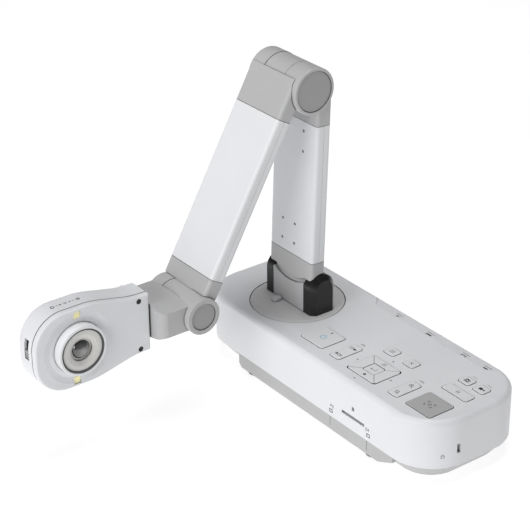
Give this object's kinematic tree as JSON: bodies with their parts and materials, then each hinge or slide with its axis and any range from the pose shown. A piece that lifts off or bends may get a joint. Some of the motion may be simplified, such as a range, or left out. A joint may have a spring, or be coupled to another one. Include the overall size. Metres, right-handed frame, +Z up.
{
  "type": "document camera",
  "caption": "Desk document camera: keypad base with a turntable, a two-section folding arm, and a turning camera head with LED lamps.",
  "frame": {"origin": "middle of the base's footprint, on the surface that the feet stand on", "axes": "+X along the base towards the keypad end, +Y to the back of the base, +Z up; the camera's arm and head reach out over -Y"},
  "size_m": [0.26, 0.2792, 0.2453],
  "materials": {
    "white_shell": "fine matte, cool white",
    "tray_grey": "matte light grey",
    "screw_steel": "plated",
    "foot_rubber": "matte",
    "board_green": "circuit board",
    "socket_metal": "plated",
    "inlet_black": "gloss black",
    "key_white": "satin white",
    "key_grey": "satin mid grey",
    "joint_grey": "satin mid grey",
    "disc_grey": "satin darker grey",
    "shaft_steel": "turned steel",
    "frame_alloy": "plain",
    "ring_white": "satin white",
    "trim_dark": "dark ring",
    "dish_light": "light silver grey",
    "lens_glass": "coated dark glass",
    "led_cream": "translucent cream"
  },
  "bodies": {
    "base": {"base_cover": "white_shell", "base_tray": "tray_grey", "tray_screws": "screw_steel", "rubber_feet": "foot_rubber", "main_board": "board_green", "keypad_board": "board_green", "sd_socket": "socket_metal", "rear_sockets": "socket_metal", "dc_inlet": "inlet_black", "lock_plate": "socket_metal"},
    "turntable": {"turntable_disc": "joint_grey", "swivel_spindle": "shaft_steel", "swivel_retainer": "shaft_steel", "left_hinge_cap": "inlet_black", "right_hinge_cap": "inlet_black", "shoulder_block": "joint_grey", "shoulder_shaft": "shaft_steel"},
    "lower_arm": {"lower_arm_bottom_cap": "joint_grey", "lower_arm_front_cover": "white_shell", "lower_arm_back_cover": "white_shell", "lower_arm_frame": "frame_alloy", "lower_arm_top_cap": "joint_grey", "lower_arm_screws": "screw_steel", "elbow_barrel": "joint_grey", "elbow_disc": "disc_grey", "elbow_shaft": "shaft_steel"},
    "upper_arm": {"upper_arm_top_cap": "joint_grey", "upper_arm_front_cover": "white_shell", "upper_arm_back_cover": "white_shell", "upper_arm_frame": "frame_alloy", "upper_arm_bottom_cap": "joint_grey"},
    "neck": {"neck_fork": "joint_grey", "wrist_disc": "disc_grey", "wrist_shaft": "shaft_steel"},
    "head": {"head_front_shell": "white_shell", "head_rear_shell": "white_shell", "lens_ring": "ring_white", "lens_trim": "trim_dark", "lens_dish": "dish_light", "lens_glass": "lens_glass", "lens_barrel": "trim_dark", "sensor_board": "board_green", "led_windows": "led_cream", "head_screws": "screw_steel", "neck_spindle": "shaft_steel"},
    "lamp_switch": {"lamp_switch": "joint_grey"},
    "power_key": {"power_key": "key_white"},
    "menu_key": {"menu_key": "key_white"},
    "escape_key": {"escape_key": "key_white"},
    "focus_key": {"focus_key": "key_grey"},
    "freeze_key": {"freeze_key": "key_white"},
    "capture_key": {"capture_key": "key_white"},
    "record_key": {"record_key": "key_white"},
    "enter_key": {"enter_key": "key_white"},
    "pad_left": {"pad_left": "key_white"},
    "pad_down": {"pad_down": "key_white"},
    "pad_right": {"pad_right": "key_white"},
    "pad_up": {"pad_up": "key_white"},
    "source_rocker": {"source_rocker": "key_white"},
    "zoom_rocker": {"zoom_rocker": "key_white"}
  },
  "joints": [
    {"name": "turntable_swivel", "type": "hinge", "parent": "base", "child": "turntable", "pos_m": [-0.0647, -0.0034, 0.05135], "axis": [0, 0, 1], "range_deg": [-90, 90]},
    {"name": "shoulder_hinge", "type": "hinge", "parent": "turntable", "child": "lower_arm", "pos_m": [-0.0647, -0.0013, 0.071], "axis": [1, 0, 0], "range_deg": [-87.8, 10]},
    {"name": "elbow_hinge", "type": "hinge", "parent": "lower_arm", "child": "upper_arm", "pos_m": [-0.0647, -0.01098, 0.22789], "axis": [-1, 0, 0], "range_deg": [-15, 130]},
    {"name": "wrist_hinge", "type": "hinge", "parent": "upper_arm", "child": "neck", "pos_m": [-0.0647, -0.10768, 0.0846], "axis": [1, 0, 0], "range_deg": [-45, 60]},
    {"name": "head_turn", "type": "hinge", "parent": "neck", "child": "head", "pos_m": [-0.0647, -0.14, 0.0846], "axis": [0, 1, 0], "range_deg": [0, 180]},
    {"name": "lamp_slide", "type": "slide", "parent": "head", "child": "lamp_switch", "axis": [0, 0, 1], "range_m": [0, 0.0055]},
    {"name": "power_key_press", "type": "slide", "parent": "base", "child": "power_key", "axis": [0, 0, -1], "range_m": [0, 0.0006], "stiffness_N_per_m": 900, "springref_m": -0.0006},
    {"name": "menu_key_press", "type": "slide", "parent": "base", "child": "menu_key", "axis": [0, 0, -1], "range_m": [0, 0.0006], "stiffness_N_per_m": 900, "springref_m": -0.0006},
    {"name": "escape_key_press", "type": "slide", "parent": "base", "child": "escape_key", "axis": [0, 0, -1], "range_m": [0, 0.0006], "stiffness_N_per_m": 900, "springref_m": -0.0006},
    {"name": "focus_key_press", "type": "slide", "parent": "base", "child": "focus_key", "axis": [0, 0, -1], "range_m": [0, 0.0006], "stiffness_N_per_m": 900, "springref_m": -0.0006},
    {"name": "freeze_key_press", "type": "slide", "parent": "base", "child": "freeze_key", "axis": [0, 0, -1], "range_m": [0, 0.0006], "stiffness_N_per_m": 900, "springref_m": -0.0006},
    {"name": "capture_key_press", "type": "slide", "parent": "base", "child": "capture_key", "axis": [0, 0, -1], "range_m": [0, 0.0006], "stiffness_N_per_m": 900, "springref_m": -0.0006},
    {"name": "record_key_press", "type": "slide", "parent": "base", "child": "record_key", "axis": [0, 0, -1], "range_m": [0, 0.0006], "stiffness_N_per_m": 900, "springref_m": -0.0006},
    {"name": "enter_key_press", "type": "slide", "parent": "base", "child": "enter_key", "axis": [0, 0, -1], "range_m": [0, 0.0006], "stiffness_N_per_m": 900, "springref_m": -0.0006},
    {"name": "pad_left_press", "type": "slide", "parent": "base", "child": "pad_left", "axis": [0, 0, -1], "range_m": [0, 0.0006], "stiffness_N_per_m": 900, "springref_m": -0.0006},
    {"name": "pad_down_press", "type": "slide", "parent": "base", "child": "pad_down", "axis": [0, 0, -1], "range_m": [0, 0.0006], "stiffness_N_per_m": 900, "springref_m": -0.0006},
    {"name": "pad_right_press", "type": "slide", "parent": "base", "child": "pad_right", "axis": [0, 0, -1], "range_m": [0, 0.0006], "stiffness_N_per_m": 900, "springref_m": -0.0006},
    {"name": "pad_up_press", "type": "slide", "parent": "base", "child": "pad_up", "axis": [0, 0, -1], "range_m": [0, 0.0006], "stiffness_N_per_m": 900, "springref_m": -0.0006},
    {"name": "source_rocker_tilt", "type": "hinge", "parent": "base", "child": "source_rocker", "pos_m": [0.0172, -0.0236, 0.04735], "axis": [1, 0, 0], "range_deg": [-2, 2], "stiffness_Nm_per_rad": 0.3},
    {"name": "zoom_rocker_tilt", "type": "hinge", "parent": "base", "child": "zoom_rocker", "pos_m": [0.0798, -0.0236, 0.04735], "axis": [1, 0, 0], "range_deg": [-2, 2], "stiffness_Nm_per_rad": 0.3}
  ]
}
